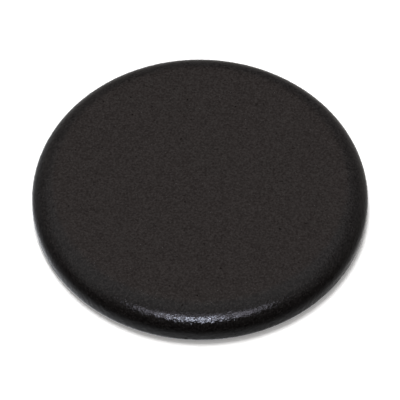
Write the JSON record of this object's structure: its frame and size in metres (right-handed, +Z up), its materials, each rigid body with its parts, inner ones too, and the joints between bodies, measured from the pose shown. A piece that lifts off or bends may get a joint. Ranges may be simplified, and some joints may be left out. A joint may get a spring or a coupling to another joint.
{
  "type": "static discharge touch pad",
  "caption": "Flat round puck for a checkout counter: a grained black rubber skin over a shallow cover with a rounded shoulder, a steel electrode, a bleed resistor and a rubber foot ring.",
  "frame": {"origin": "centre of the resting face, on the pad's axis", "axes": "+Z up along the pad's axis, -Y towards the user, +X to the user's right"},
  "size_m": [0.1, 0.1, 0.0113],
  "materials": {
    "skin_rubber": "fine-grained satin",
    "cover_plastic": "matte",
    "carbon_foam": "open-cell foam",
    "plated_steel": "zinc plated",
    "polyester_film": "clear amber",
    "tinned_brass": "tinned",
    "screw_steel": "bright zinc",
    "washer_steel": "zinc plated",
    "resistor_body": "lacquered, with coloured value bands",
    "tinned_copper": "tinned",
    "sleeve_plastic": "satin",
    "solder": "satin",
    "phosphor_bronze": "rolled spring strip",
    "rivet_brass": "turned",
    "base_plastic": "fine spark-eroded texture",
    "label_film": "matte silver film, blank",
    "black_screw_steel": "black zinc",
    "foot_rubber": "matte"
  },
  "bodies": {
    "root": {"touch_skin": "skin_rubber", "cover_shell": "cover_plastic", "contact_foam": "carbon_foam", "electrode_plate": "plated_steel", "insulator_disc": "polyester_film", "plate_terminal": "tinned_brass", "terminal_screw": "screw_steel", "terminal_washer": "washer_steel", "bleed_resistor": "resistor_body", "resistor_leads": "tinned_copper", "lead_sleeves": "sleeve_plastic", "solder_joints": "solder", "foot_contact": "phosphor_bronze", "contact_rivet": "rivet_brass", "base_plate": "base_plastic", "base_label": "label_film", "base_screws": "black_screw_steel", "foot_ring": "foot_rubber"}
  },
  "joints": []
}
